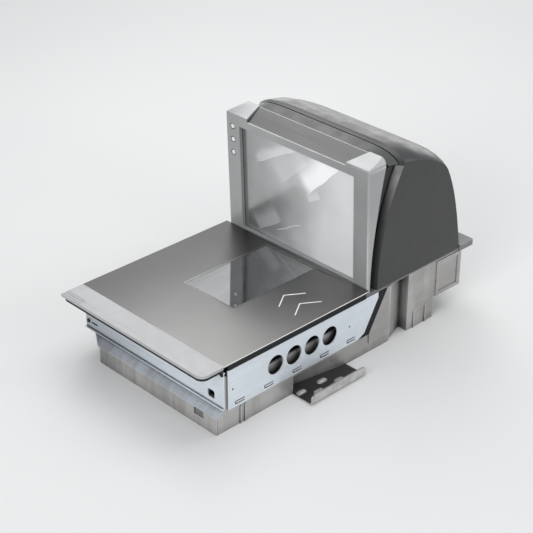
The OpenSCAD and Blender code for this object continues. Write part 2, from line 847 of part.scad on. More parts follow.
// dark strip set into the sloping top of the bezel
module bezel_inlay() {
    color("dimgray") on_top_slope() translate([0, 0, -inlay_t]) linear_extrude(inlay_t)
        header_outline(inlay_span);
}

module vertical_glass() {
    half = opening_w / 2 + 3;
    color("lightblue", 0.5) leaned()
        block([-half, half], [glass_depth + 1, glass_depth + 1 + glass_t], glass_span);
}

module vertical_glass_seal() {
    half = opening_w / 2;
    step = 0.8;
    color("black") leaned() difference() {
        block([-half - 3, half + 3], [glass_depth, glass_depth + 1], glass_span);
        block([-half - step, half + step], [glass_depth - 1, glass_depth + 2],
            [sill_h - step, sill_h + opening_h + step]);
    }
}

module button_board() {
    back = bezel_skin + 7;
    color("darkgreen") leaned() block([button_x - 7, button_x + 7], [back, back + board_t], [106, 168]);
}

// rings that guide the buttons and the lamp in the bezel
module button_collars() {
    color("gray") leaned() for (h = button_h) translate([button_x, 0.4, h]) rotate([-90, 0, 0]) difference() {
        cylinder(h = 4, r = collar_r);
        translate([0, 0, -1]) cylinder(h = 6, r = button_r + running_gap);
    }
}

module push_button(h) {
    leaned() translate([button_x, 0.2, h]) rotate([-90, 0, 0]) difference() {
        cylinder(h = button_l, r = button_r);
        translate([0, 0, -button_r * 1.2]) sphere(r = button_r * 1.45);
    }
}

module volume_button() {
    color("white") push_button(button_h[0]);
}

module zero_button() {
    color("white") push_button(button_h[1]);
}

module status_lamp() {
    color("lightcyan") leaned() translate([button_x, 0.2, button_h[2]]) rotate([-90, 0, 0])
        cylinder(h = 9, r = button_r);
}

// ---------- hood ----------

// a front curve of the ring or hood as [y, z] points, which lean back more as they rise
function hood_edge(curve, inset) = [for (i = [0:8]) let (t = i / 8)
    [curve[0] + inset + curve[1] * pow(t, 2.2), plate_top + t * (curve[2] - inset - plate_top)]];

// thin slice of the crowned top at y: almost flat, with round shoulders at both ends
module crown_slice(y, half, z, rise) {
    top = [for (i = [-8:8]) let (x = half * sin(i * 90 / 8)) [x, z + rise * (1 - pow(abs(x) / half, 9))]];
    translate([0, y, 0]) along_y([-0.1, 0.1]) polygon(concat([[-half, z - 1]], top, [[half, z - 1]]));
}

// closed outside of ring and hood together, shrunk by inset
module hood_mass(inset) {
    side = hood_half - inset;
    back = [for (p = hood_back) [p[0] - inset, max(plate_top, p[1] - inset)]];
    hull() {
        for (curve = [ring_lip, hood_joint]) along_x([inset - curve[3], curve[3] - inset])
            polygon(concat(hood_edge(curve, inset), [back[0], back[8]]));
        along_x([-side, side]) polygon(concat(hood_edge(hood_crease, inset), back));
        crown_slice(ring_lip[0] + ring_lip[1] + inset, ring_lip[3] - inset, ring_lip[2] - inset, ring_crown);
        crown_slice(hood_crease[0] + hood_crease[1], side, hood_crease[2] - inset, crown);
        for (i = [0, 2, 3]) crown_slice(back[i][0], side, back[i][1], crown);
    }
}

// space in front of the joint, where the ring is
module ring_space(gap) {
    foot = [hood_joint[0] - gap, plate_top - 10];
    top = [hood_joint[0] + hood_joint[1] - gap, hood_joint[2] + 26];
    along_x([-half_w, half_w]) polygon(concat([[300, foot[1]], foot],
        [for (p = hood_edge(hood_joint, 0)) [p[0] - gap, p[1]]], [top, [300, top[1]]]));
}

module hood_hollow() {
    hood_mass(hood_skin);
    translate([0, 0, -6]) hood_mass(hood_skin);
    block([-hood_half + 11, hood_half - 11], [310, 372], [plate_top - 1, 168]);
}

// tongue of the ring that reaches into the bezel and closes the gap between them
module ring_tongue() {
    half = tongue_back[3];
    intersection() {
        along_x([-half, half]) polygon(concat(hood_edge(tongue_front, 0), [for (i = [8:-1:0])
            hood_edge(tongue_back, 0)[i]]));
        along_y([300, 380]) difference() {
            round_rect([-half, half], [plate_top - 20, tongue_back[2]], 14);
            round_rect([3 - half, half - 3], [plate_top - 30, tongue_back[2] - 3], 11);
        }
    }
}

module hood_ring() {
    color("dimgray") {
        intersection() {
            difference() {
                hood_mass(0);
                hood_hollow();
            }
            ring_space(ring_gap);
        }
        ring_tongue();
    }
}

module hood_shell() {
    boss_r = 5;
    color("dimgray") {
        difference() {
            hood_mass(0);
            hood_hollow();
            ring_space(0);
        }
        for (p = hood_bolt_at) translate([p[0], p[1], plate_top]) difference() {
            union() {
                cylinder(h = 14, r = boss_r);
                block(p[0] < 0 ? [-12.5, 0] : [0, 12.5], [-1.5, 1.5], [0, 14]);
            }
            translate([0, 0, -1]) cylinder(h = 13, r = 1.55);
        }
    }
}

// screws that come up through the shelf into the hood's bosses
module hood_screws() {
    color("gray") for (p = hood_bolt_at) translate([p[0], p[1], seat_z]) rotate([180, 0, 0])
        screw(3.4, 2, 1.5, 11);
}

base_casting();
left_side_panel();
right_side_panel();
front_panel();
panel_edge_seals();
panel_screws();
corner_plugs();
mounting_bracket();
bracket_screws();
optics_cover();
inner_window();
inner_window_seal();
bubble_level();
load_cell();
load_cell_screws();
main_board();
board_components();
scale_board();
speaker();
sensor_cable();
interface_ports();
rear_deck_plate();
laser_module();
spinner_motor();
optics_chassis();
lower_mirrors();
tower_mirrors();
collector_mirror();
detector_board();
tower_frame();
bezel();
bezel_inlay();
vertical_glass();
vertical_glass_seal();
button_board();
button_collars();
status_lamp();
hood_ring();
hood_shell();
hood_screws();
weigh_frame();
platter_pads();
deck_plate();
deck_trim();
deck_gasket();
window_frame();
deck_glass();
volume_button();
zero_button();
mirror_polygon();
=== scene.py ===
"""Looks of the two-window checkout scanner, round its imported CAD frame. In metres; the operator is at -Y."""

import json
from math import cos, radians, sin

import bmesh
import bpy
from mathutils import Matrix, Vector


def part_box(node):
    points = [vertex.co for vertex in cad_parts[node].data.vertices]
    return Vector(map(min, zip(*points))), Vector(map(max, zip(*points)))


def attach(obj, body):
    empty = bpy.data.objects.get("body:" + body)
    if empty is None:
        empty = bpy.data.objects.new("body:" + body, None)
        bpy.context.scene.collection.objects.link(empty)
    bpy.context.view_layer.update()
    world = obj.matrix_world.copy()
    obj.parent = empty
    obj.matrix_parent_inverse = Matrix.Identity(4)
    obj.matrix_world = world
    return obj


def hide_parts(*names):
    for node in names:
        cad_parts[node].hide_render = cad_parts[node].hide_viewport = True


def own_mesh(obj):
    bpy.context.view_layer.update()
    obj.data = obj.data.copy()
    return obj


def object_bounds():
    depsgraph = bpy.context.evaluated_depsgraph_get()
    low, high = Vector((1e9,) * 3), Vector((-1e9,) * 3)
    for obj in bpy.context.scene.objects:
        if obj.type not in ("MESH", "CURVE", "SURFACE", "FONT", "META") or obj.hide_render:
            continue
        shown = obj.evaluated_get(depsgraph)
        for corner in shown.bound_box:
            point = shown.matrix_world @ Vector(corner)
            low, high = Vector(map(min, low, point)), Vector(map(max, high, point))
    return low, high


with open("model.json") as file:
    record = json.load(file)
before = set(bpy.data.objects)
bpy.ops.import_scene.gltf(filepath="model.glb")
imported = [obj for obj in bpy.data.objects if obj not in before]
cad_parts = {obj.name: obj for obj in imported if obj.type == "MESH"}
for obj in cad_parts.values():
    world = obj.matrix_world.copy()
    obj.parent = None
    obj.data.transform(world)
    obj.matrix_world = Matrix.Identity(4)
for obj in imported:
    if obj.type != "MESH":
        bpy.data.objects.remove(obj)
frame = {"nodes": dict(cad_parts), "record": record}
CAD_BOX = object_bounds()
MM = 0.001
NODES = frame["nodes"]
SLOT_OF = {part["node"]: part["material_slot"] for part in frame["record"]["subparts"]}


# ---------- node materials ----------

class Recipe:
    """A node material that is put together layer by layer."""

    def __init__(self, name):
        self.material = bpy.data.materials.new(name)
        self.material.use_nodes = True
        self.tree = self.material.node_tree
        self.shader = self.tree.nodes["Principled BSDF"]
        self.place = self.node("TexCoord").outputs["Object"]

    def node(self, kind, inputs=(), **settings):
        """Adds a node; a socket among the inputs is linked and anything else is a value."""
        made = self.tree.nodes.new("ShaderNode" + kind)
        for key, value in settings.items():
            setattr(made, key, value)
        for key, value in dict(inputs).items():
            if isinstance(value, bpy.types.NodeSocket):
                self.tree.links.new(value, made.inputs[key])
            else:
                made.inputs[key].default_value = value
        return made

    def set(self, **inputs):
        """Sets or links inputs of the surface shader; an underscore in a name stands for a space."""
        for key, value in inputs.items():
            socket = self.shader.inputs[key.replace("_", " ")]
            if isinstance(value, bpy.types.NodeSocket):
                self.tree.links.new(value, socket)
            else:
                socket.default_value = value

    def noise(self, scale, detail=4.0, rough=0.55):
        """Noise from 0 to 1, with its own scale along each axis, in cells per metre."""
        spot = self.node("Mapping", {"Vector": self.place, "Scale": scale}).outputs["Vector"]
        made = self.node("TexNoise", {"Vector": spot, "Scale": 1.0, "Detail": detail, "Roughness": rough})
        return made.outputs["Fac"]

    def spread(self, value, low=0.0, high=1.0, start=0.3, end=0.7):
        """Maps a value from start..end onto low..high, smoothly."""
        limits = {"Value": value, "From Min": start, "From Max": end, "To Min": low, "To Max": high}
        return self.node("MapRange", limits, interpolation_type="SMOOTHSTEP").outputs["Result"]

    def math(self, operation, a, b):
        return self.node("Math", {0: a, 1: b}, operation=operation).outputs["Value"]

    def times(self, first, *others):
        """The product of all the values."""
        for other in others:
            first = self.math("MULTIPLY", first, other)
        return first

    def vector(self, operation, a, b, result="Vector"):
        return self.node("VectorMath", {0: a, 1: b}, operation=operation).outputs[result]

    def axis(self, vector, name):
        return self.node("SeparateXYZ", {0: vector}).outputs[name]

    def open_air(self, reach, low, high):
        """From 0 in tight corners to 1 on open faces, rising between two levels of ambient occlusion."""
        shade = self.node("AmbientOcclusion", {"Distance": reach}, samples=6).outputs["AO"]
        return self.spread(shade, 0.0, 1.0, low, high)

    def mix(self, share, a, b):
        """Mixes two colours; sockets 0, 6 and 7 of the node are the share and the colours."""
        made = self.node("Mix", data_type="RGBA")
        for index, value in ((0, share), (6, a), (7, b)):
            if isinstance(value, bpy.types.NodeSocket):
                self.tree.links.new(value, made.inputs[index])
            else:
                made.inputs[index].default_value = value
        return made.outputs[2]

    def edges(self, radius):
        """Close to 1 along sharp outer edges and 0 on flat faces."""
        soft = self.node("Bevel", {"Radius": radius}, samples=4).outputs["Normal"]
        plain = self.node("NewGeometry").outputs["Normal"]
        return self.spread(self.vector("DOT_PRODUCT", soft, plain, "Value"), 1.0, 0.0, 0.75, 0.99)

    def bump(self, height, depth, normal=None):
        inputs = {"Height": height, "Distance": depth, "Strength": 1.0}
        if normal is not None:
            inputs["Normal"] = normal
        return self.node("Bump", inputs).outputs["Normal"]


def grey(level, tint=(1.0, 1.0, 1.0)):
    return (level * tint[0], level * tint[1], level * tint[2], 1.0)


def coated(name, level, tint, rough, metallic=0.0, grain=900.0, depth=0.00003, wear=0.25):
    """Painted or moulded surface: fine grain, slow changes of tone, smudges in the gloss and worn edges."""
    made = Recipe(name)
    slow = made.noise((9, 9, 9), 3.0)
    smudge = made.noise((60, 60, 40), 5.0)
    fine = made.noise((grain, grain, grain), 2.0)
    shade = made.mix(made.spread(slow), grey(level * 0.93, tint), grey(level * 1.06, tint))
    speck = made.mix(made.spread(fine, 0.0, 0.1), shade, grey(level * 1.5, tint))
    worn = made.times(made.edges(0.0008), wear)
    made.set(Base_Color=made.mix(worn, speck, grey(min(1.0, level * 1.7 + 0.05), tint)), Metallic=metallic)
    made.set(Roughness=made.spread(smudge, rough * 0.85, rough * 1.18), Normal=made.bump(fine, depth))
    return made.material


def brushed(name, level, tint, rough, across, streak=0.16):
    """Brushed sheet metal: across gives the cells per metre on each axis, low along the brushing."""
    made = Recipe(name)
    lines = made.noise(across, 6.0, 0.7)
    slow = made.noise((7, 7, 7), 3.0)
    dark, pale = grey(level * (1 - streak), tint), grey(level * (1 + streak), tint)
    shade = made.mix(made.spread(lines), dark, pale)
    cloud = made.mix(made.spread(slow, 0.0, 0.5), shade, grey(level * 0.9, tint))
    worn = made.times(made.edges(0.0006), 0.2)
    made.set(Base_Color=made.mix(worn, cloud, grey(min(1.0, level * 1.5), tint)), Metallic=1.0)
    made.set(Roughness=made.spread(lines, rough * 0.8, rough * 1.25), Normal=made.bump(lines, 0.000006))
    turned = made.node("Tangent", direction_type="RADIAL", axis="Z").outputs["Tangent"]
    made.set(Anisotropic=0.5, Tangent=turned)
    return made.material


def cast_alloy():
    """As-cast aluminium: flow streaks, painted sky reflection on upward faces, painted shade at the left end
    and in corners, and worn edges with a painted highlight.
    """
    made = Recipe("cast_alloy")
    mottle = made.noise((30, 30, 30), 5.0, 0.6)
    streaks = made.noise((10, 10, 420), 5.0, 0.6)
    bands = made.noise((60, 14, 5), 4.0, 0.65)
    pits = made.noise((1100, 1100, 1100), 3.0)
    base = made.mix(made.spread(mottle), grey(0.33, (1.05, 1.0, 0.94)), grey(0.39, (1.01, 1.0, 0.98)))
    shiny = made.mix(made.spread(bands, 0.0, 0.7, 0.42, 0.62), base, grey(0.56, (1.01, 1.0, 0.98)))
    flow = made.mix(made.spread(streaks, 0.0, 0.5, 0.40, 0.75), shiny, grey(0.52, (1.0, 1.0, 0.99)))
    up = made.axis(made.node("NewGeometry").outputs["Normal"], "Z")
    # painted reflection of the sky: faces that look up are painted a paler, bluer grey, in patches
    sky_share = made.times(made.spread(up, 0.0, 1.0, 0.15, 0.5), made.spread(bands, 0.25, 0.9))
    with_sky = made.mix(sky_share, flow, grey(0.66, (0.90, 0.98, 1.08)))
    across = made.axis(made.place, "X")
    # painted shade: darker and bluer towards the left end
    skin = made.mix(made.spread(across, 0.6, 0.0, -0.12, -0.03), with_sky, grey(0.10, (0.9, 1.0, 1.15)))
    height, depth = made.axis(made.place, "Z"), made.axis(made.place, "Y")
    # the shallow pocket low in the front wall is darker; its floor is 29.5 mm back and ends 80 mm down
    low = made.math("LESS_THAN", height, -0.0801)
    inset = made.times(made.math("GREATER_THAN", depth, 0.029), made.math("LESS_THAN", depth, 0.030))
    pocket = made.mix(made.times(low, inset, 0.6), skin, grey(0.08))
    # worn edges, lightened further as a painted highlight along them
    rubbed_and_highlit = made.mix(made.times(made.edges(0.0016), 0.85), pocket, grey(0.8))
    # painted shade: near black where ambient occlusion finds close surfaces, in corners and on walls close
    # behind other parts
    shaded_corners = made.mix(made.open_air(0.03, 0.1, 0.75), grey(0.03), rubbed_and_highlit)
    made.set(Base_Color=shaded_corners, Metallic=0.7, Roughness=made.spread(streaks, 0.36, 0.55))
    made.set(Normal=made.bump(mottle, 0.0002, made.bump(pits, 0.00006)))
    return made.material


def bracket_steel():
    """Plated bracket steel: painted shade darkens its upper face, and the tops of the rims above it are
    painted dimmer.
    """
    made = Recipe("bracket_steel")
    cloud = made.noise((70, 70, 70), 5.0)
    fine = made.noise((600, 600, 600), 3.0)
    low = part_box("mounting_bracket")[0].z
    up = made.axis(made.node("NewGeometry").outputs["Normal"], "Z")
    height = made.axis(made.place, "Z")
    raised = made.math("GREATER_THAN", height, low + 0.0029)
    rim = made.times(raised, made.math("GREATER_THAN", up, 0.9))
    # painted shade: faces that look up are painted near black, except the rim tops
    painted_shade = made.times(made.spread(up, 0.0, 1.0, 0.5, 0.9), made.math("SUBTRACT", 1.0, rim))
    plated = made.mix(made.spread(cloud), grey(0.42, (1.0, 0.99, 0.97)), grey(0.58, (1.0, 0.99, 0.98)))
    worn = made.mix(made.times(made.edges(0.0008), 0.6), plated, grey(0.85))
    # painted shade, milder: the rim tops that look up are dimmer
    dim = made.mix(rim, worn, grey(0.30))
    made.set(Base_Color=made.mix(painted_shade, dim, grey(0.045, (1.0, 0.95, 0.95))), Metallic=0.6)
    made.set(Roughness=made.spread(cloud, 0.32, 0.5), Normal=made.bump(fine, 0.00003))
    return made.material


def zinc_sheet(name, left_shade=0.0):
    """Pale blue zinc plate with faint crystal patches; the second argument is how much painted shade darkens
    it to the left.
    """
    made = Recipe(name)
    lines = made.noise((500, 8, 900), 4.0)
    spot = made.node("Mapping", {"Vector": made.place, "Scale": (120, 120, 120)}).outputs["Vector"]
    crystal = made.node("TexVoronoi", {"Vector": spot, "Scale": 1.0}).outputs["Color"]
    patch = made.node("SeparateColor", {"Color": crystal}).outputs[0]
    faint = made.times(patch, 0.35)
    base = made.mix(faint, grey(0.78, (0.91, 0.98, 1.05)), grey(0.88, (0.93, 0.98, 1.03)))
    drawn = made.mix(made.spread(lines, 0.0, 0.25), base, grey(0.6, (0.92, 0.98, 1.06)))
    # painted shade: darker towards the left end, along a ragged boundary
    shade_wobble = made.times(made.noise((5, 5, 240), 5.0, 0.65), 0.12)
    across = made.math("ADD", made.axis(made.place, "X"), shade_wobble)
    shaded_left = made.mix(made.spread(across, left_shade, 0.0, -0.08, 0.12), drawn, grey(0.16, (0.9, 1.0, 1.12)))
    worn = made.times(made.edges(0.0006), 0.5)
    # painted shade: near black where ambient occlusion finds close surfaces, in slots and creases
    shaded_crevices = made.mix(made.open_air(0.004, 0.5, 0.85), grey(0.01), made.mix(worn, shaded_left, grey(0.95)))
    made.set(Base_Color=shaded_crevices, Metallic=0.55)
    made.set(Roughness=made.spread(patch, 0.38, 0.48), Normal=made.bump(lines, 0.00001))
    return made.material


def black_rubber():
    """Blue-black rubber with a bloom of dust."""
    made = Recipe("black_rubber")
    dust = made.noise((150, 150, 150), 5.0)
    fine = made.noise((1600, 1600, 1600), 2.0)
    made.set(Base_Color=made.mix(made.spread(dust, 0.0, 0.5), grey(0.008, (0.9, 0.95, 1.1)), grey(0.02)))
    made.set(Roughness=made.spread(dust, 0.55, 0.8), Specular_IOR_Level=0.3, Normal=made.bump(fine, 0.00004))
    return made.material


def glass(name, share, rough, inner=0.5, haze=None):
    """Coated glass: share is how much it mirrors, haze how much it scatters, and the rest shows through."""
    made = Recipe(name)
    wipe = made.noise((30, 9, 9), 4.0)
    mirror = made.node("BsdfGlossy", {"Color": grey(0.95, (0.99, 1.0, 1.0)),
                                      "Roughness": made.spread(wipe, rough * 0.7, rough * 1.4)})
    clear = made.node("BsdfTransparent", {"Color": grey(inner, (0.95, 1.0, 1.0))})
    amount = made.spread(wipe, share * 0.92, share * 1.08)
    surface = made.node("MixShader", {0: amount, 1: clear.outputs[0], 2: mirror.outputs[0]})
    # a haze pattern paints light: on the upright glass it is a painted reflection
    if haze:
        milky = made.node("BsdfDiffuse", {"Color": grey(0.92, (0.99, 1.0, 1.0))})
        surface = made.node("MixShader", {0: haze(made), 1: surface.outputs[0], 2: milky.outputs[0]})
    made.tree.links.new(surface.outputs[0], made.tree.nodes["Material Output"].inputs["Surface"])
    return made.material


# painted reflections in the upright glass, shaped as shafts of light: foot and tip of the crisp edge as (x,
# z), width and strength
SHAFTS = (
    ((-0.082, 0.119), (-0.003, 0.1615), 0.020, 0.24),
    ((0.0225, 0.106), (0.0815, 0.1616), 0.046, 0.42),
    ((-0.082, 0.006), (-0.037, 0.0375), 0.034, 0.16),
    ((-0.047, 0.0193), (0.004, 0.0463), 0.002, 0.30),
    ((-0.030, 0.105), (0.020, 0.150), 0.050, 0.10),
    ((0.020, 0.092), (0.042, 0.103), 0.016, 0.14),
)


def shaft(made, spot, foot, tip, width, strength):
    """Painted patch of light above the line from foot to tip: crisp along the line and fading away from it."""
    run = Vector((tip[0] - foot[0], 0.0, tip[1] - foot[1]))
    away = Vector((-run.z, 0.0, run.x)).normalized()
    moved = made.vector("SUBTRACT", spot, (foot[0], 0.0, foot[1]))
    side = made.vector("DOT_PRODUCT", moved, away, "Value")
    along = made.vector("DOT_PRODUCT", moved, run / run.length_squared, "Value")
    lit = made.spread(side, 0.0, strength, -0.001, 0.001)
    fade = made.spread(side, 1.0, 0.0, 0.3 * width, width)
    start = made.spread(along, 0.0, 1.0, -0.1, 0.1)
    end = made.spread(along, 1.0, 0.0, 0.85, 1.05)
    return made.times(lit, fade, start, end)


def tower_painted_reflections(made):
    """Painted reflection in the silvery haze of the upright glass: stronger to the right, and crossed by
    painted shafts of light.
    """
    drift = made.node("TexNoise", {"Vector": made.place, "Scale": 17.0, "Detail": 1.0}).outputs["Color"]
    warp = made.vector("SUBTRACT", drift, (0.5, 0.5, 0.5))
    spot = made.vector("ADD", made.place, made.vector("MULTIPLY", warp, (0.012, 0.012, 0.012)))
    loose = made.vector("ADD", made.place, made.vector("MULTIPLY", warp, (0.08, 0.08, 0.08)))
    total = made.spread(made.axis(loose, "X"), 0.08, 0.72, -0.12, 0.10)
    for details in SHAFTS:
        total = made.math("ADD", total, shaft(made, spot, *details))
    return total


def deck_steel():
    """Satin steel deck plate with hardly visible brushing, pale paint in its engraved arrows, a painted
    highlight along its edge and painted shade to the left.
    """
    made = Recipe("deck_steel")
    lines = made.noise((900, 12, 200), 6.0, 0.7)
    slow = made.noise((7, 7, 7), 3.0)
    shade = made.mix(made.spread(lines), grey(0.178, (1.0, 0.995, 0.98)), grey(0.198, (1.0, 0.99, 0.97)))
    cloud = made.mix(made.spread(slow, 0.0, 0.6), shade, grey(0.155, (1.0, 0.99, 0.97)))
    height = made.axis(made.place, "Z")
    up = made.axis(made.node("NewGeometry").outputs["True Normal"], "Z")
    paint = made.times(made.math("LESS_THAN", height, -0.0003), made.math("GREATER_THAN", height, -0.001),
                       made.math("GREATER_THAN", up, 0.5))
    # the edge faces are painted: a pale band along the top 1.3 mm as a painted highlight, dark below it
    rim = made.mix(made.math("GREATER_THAN", height, -0.0013), grey(0.04), grey(0.95))
    across = made.axis(made.place, "X")
    # painted shade: darker towards the left
    shaded = made.mix(made.spread(across, 0.55, 0.0, -0.15, 0.08), cloud, grey(0.05))
    bare = made.mix(made.spread(up, 1.0, 0.0, 0.85, 0.99), shaded, rim)
    made.set(Base_Color=made.mix(paint, bare, grey(0.85)), Metallic=made.math("SUBTRACT", 1.0, paint))
    made.set(Roughness=made.spread(lines, 0.30, 0.38), Normal=made.bump(lines, 0.000001))
    return made.material


def circuit_board():
    """Green solder mask with a faint grid of tracks."""
    made = Recipe("circuit_board")
    spot = made.node("Mapping", {"Vector": made.place, "Scale": (260, 260, 260)}).outputs["Vector"]
    tracks = made.node("TexBrick", {"Vector": spot, "Scale": 1.0, "Mortar Size": 0.06}).outputs["Fac"]
    cloud = made.noise((40, 40, 40), 3.0)
    mask = made.mix(made.spread(cloud), grey(0.05, (0.2, 1.6, 0.6)), grey(0.08, (0.2, 1.6, 0.6)))
    made.set(Base_Color=made.mix(tracks, mask, grey(0.12, (0.3, 1.6, 0.7))), Roughness=0.35)
    made.set(Normal=made.bump(tracks, 0.00003))
    return made.material


def mirror_coat():
    """Silvered front-surface mirror with faint haze."""
    made = Recipe("mirror_coat")
    haze = made.noise((50, 50, 50), 4.0)
    made.set(Base_Color=made.mix(made.spread(haze, 0.0, 0.3), grey(0.9), grey(0.7, (0.95, 0.97, 1.0))))
    made.set(Metallic=1.0, Roughness=made.spread(haze, 0.03, 0.12))
    return made.material


def lamp_lens():
    """Milky lens of the status lamp."""
    made = Recipe("lamp_lens")
    cloud = made.noise((900, 900, 900), 3.0)
    made.set(Base_Color=made.mix(cloud, grey(0.75, (0.95, 1.0, 1.0)), grey(0.9)), Roughness=0.18)
    made.set(Subsurface_Weight=0.3, Normal=made.bump(cloud, 0.00002))
    return made.material


def vial_liquid():
    """Yellow-green spirit level."""
    made = Recipe("vial")
    cloud = made.noise((300, 300, 300), 3.0)
    made.set(Base_Color=made.mix(cloud, grey(0.5, (0.8, 1.3, 0.2)), grey(0.6, (0.9, 1.3, 0.3))))
    made.set(Roughness=0.12, Coat_Weight=0.6, Normal=made.bump(cloud, 0.00002))
    return made.material


def ribbon_cable():
    """Flat grey cable with its wires showing as ribs."""
    made = Recipe("ribbon")
    spot = made.node("Mapping", {"Vector": made.place, "Scale": (0, 800, 0)}).outputs["Vector"]
    ribs = made.node("TexWave", {"Vector": spot, "Scale": 1.0}, bands_direction="Y").outputs["Fac"]
    made.set(Base_Color=made.mix(ribs, grey(0.3), grey(0.5)), Roughness=0.5, Normal=made.bump(ribs, 0.0002))
    return made.material


MATERIALS = {
    "cast_alloy": cast_alloy(),
    "zinc_sheet": zinc_sheet("zinc_sheet"),
    "deck_steel": deck_steel(),
    "light_trim": coated("light_trim", 0.36, (1.0, 1.0, 1.01), 0.42, metallic=0.15, depth=0.00002),
    "bezel_grey": coated("bezel_grey", 0.34, (0.99, 1.0, 1.0), 0.40, metallic=0.35, depth=0.000015),
    "inlay_dark": brushed("inlay_dark", 0.075, (1.0, 1.0, 1.0), 0.34, (14, 700, 700), streak=0.30),
    "hood_dark": coated("hood_dark", 0.025, (0.98, 1.0, 1.02), 0.34, grain=1300.0, depth=0.00004, wear=0.12),
    "black_rubber": black_rubber(),
    "window_glass": glass("window_glass", 0.40, 0.04),
    "frame_steel": brushed("frame_steel", 0.17, (1.0, 1.0, 1.0), 0.30, (1200, 14, 1200)),
    "bracket_steel": bracket_steel(),
    "fastener": brushed("fastener", 0.55, (1.0, 1.0, 1.0), 0.25, (900, 900, 60)),
    "sheet_black": coated("sheet_black", 0.03, (1.0, 1.0, 1.05), 0.5, wear=0.4),
    "load_cell_alloy": brushed("load_cell_alloy", 0.7, (1.0, 1.0, 1.0), 0.3, (14, 900, 900)),
    "cast_black": coated("cast_black", 0.035, (1.0, 1.0, 1.0), 0.5, grain=400.0, depth=0.0001, wear=0.5),
    "circuit_board": circuit_board(),
    "component_black": coated("component_black", 0.03, (1.0, 1.0, 1.0), 0.4, wear=0.3),
    "mirror_coat": mirror_coat(),
    "brass_mount": brushed("brass_mount", 0.5, (1.4, 1.0, 0.45), 0.28, (14, 900, 900)),
    "lamp_lens": lamp_lens(),
    "button_cap": coated("button_cap", 0.75, (1.0, 1.0, 1.0), 0.25, wear=0.0),
    "button_ring": coated("button_ring", 0.03, (1.0, 1.0, 1.0), 0.3, metallic=0.3),
    "vial": vial_liquid(),
    "ribbon": ribbon_cable(),
    "shelf_grey": coated("shelf_grey", 0.17, (1.0, 1.0, 1.0), 0.42, grain=1100.0, wear=0.3),
}

# nodes that don't look like the rest of their slot
OWN_MATERIAL = {
    # the upright glass carries painted reflections in its haze
    "vertical_glass": glass("tower_glass", 0.30, 0.16, 0.35, tower_painted_reflections),
    # painted shade darkens the front panel towards its left end
    "front_panel": zinc_sheet("front_zinc", 0.6),
    "panel_screws": coated("dark_screw", 0.02, (1.0, 1.0, 1.0), 0.4, metallic=0.5),
}


# ---------- mesh helpers ----------

def new_piece(name, builder, node):
    """Makes an object from a bmesh, in place of a CAD node of the base and with its finish."""
    grid = bmesh.new()
    builder(grid)
    bmesh.ops.recalc_face_normals(grid, faces=grid.faces)
    data = bpy.data.meshes.new(name)
    grid.to_mesh(data)
    grid.free()
    data.polygons.foreach_set("use_smooth", [True] * len(data.polygons))
    made = bpy.data.objects.new(name, data)
    bpy.context.scene.collection.objects.link(made)
    data.materials.append(MATERIALS[SLOT_OF[node]])
    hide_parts(node)
    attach(made, "base")
    return made


def round_edges(made, width, segments=2, limit=30):
    """Rounds the edges that turn by more than the limit in degrees, and shades the result by face size.

    Blender narrows the rounding of a piece to fit its shortest edges, on some pieces to almost nothing.
    """
    bevel = made.modifiers.new("round", "BEVEL")
    bevel.width = width
    bevel.segments = segments
    bevel.limit_method = "ANGLE"
    bevel.angle_limit = radians(limit)
    bevel.miter_outer = "MITER_ARC"
    shade = made.modifiers.new("shade", "WEIGHTED_NORMAL")
    shade.weight = 60


def join_rows(grid, rows):
    """Adds the faces between rows of vertices, all of one length."""
    for low, high in zip(rows, rows[1:]):
        for i in range(len(low) - 1):
            grid.faces.new((low[i], low[i + 1], high[i + 1], high[i]))


def loft(grid, rows):
    """Adds a surface through rows of points and returns their vertices."""
    made = [[grid.verts.new(p) for p in row] for row in rows]
    join_rows(grid, made)
    return made


# ---------- hood ----------

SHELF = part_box("hood_shell")[0][2] / MM
SIDE_STEPS = 14
TOP_STEPS = 9
EAVE = 4
# front curves of the ring, its tongue and the hood in millimetres: foot, sweep back at the top, height,
# half width across the top, half width at the flanks and rise of the crown
TONGUE_FRONT = (318.5, 21.5, 176, 136.5, 136, 7)
TONGUE_BACK = (329, 27, 170, 132, 126, 7)
RING_LIP = (325, 26.5, 176, 137, 131, 8)
HOOD_JOINT = (329, 43, 174, 138, 132, 13.7)
HOOD_CREASE = (332, 47, 174, 143, 143, 15)
# corner of the hood's flank, from the crease over the shoulder and down to the shelf, as (y, z)
HOOD_CREST = ((379, 174), (405, 169), (426, 161.5), (447, 152), (468, 139), (481, 114.5), (491, 86),
              (499, 54), (505, 23), (510, SHELF))
SHOULDER_Y = (468, 481)


def crown_row(y, half, z, rise):
    """Points across the top at one depth, from right to left: flat, and turned down at both ends."""
    places = [half * sin(radians(90 * i / TOP_STEPS)) for i in range(TOP_STEPS, -TOP_STEPS - 1, -1)]
    return [Vector((x, y, z + rise * (1 - abs(x / half) ** 9))) * MM for x in places]


def arch(curve, back=0.0):
    """Points up the right flank, over the crown and down the left flank of a front curve."""
    foot, sweep, top, half, flank_half, rise = curve
    heights = [SHELF + (top - EAVE - SHELF) * i / (SIDE_STEPS - 1) for i in range(SIDE_STEPS)]
    flank = [(foot + back + sweep * ((z - SHELF) / (top - SHELF)) ** 2.2, z) for z in heights]
    right = [Vector((flank_half, y, z)) * MM for y, z in flank]
    left = [Vector((-flank_half, y, z)) * MM for y, z in reversed(flank)]
    return right + crown_row(foot + back + sweep, half, top, rise) + left


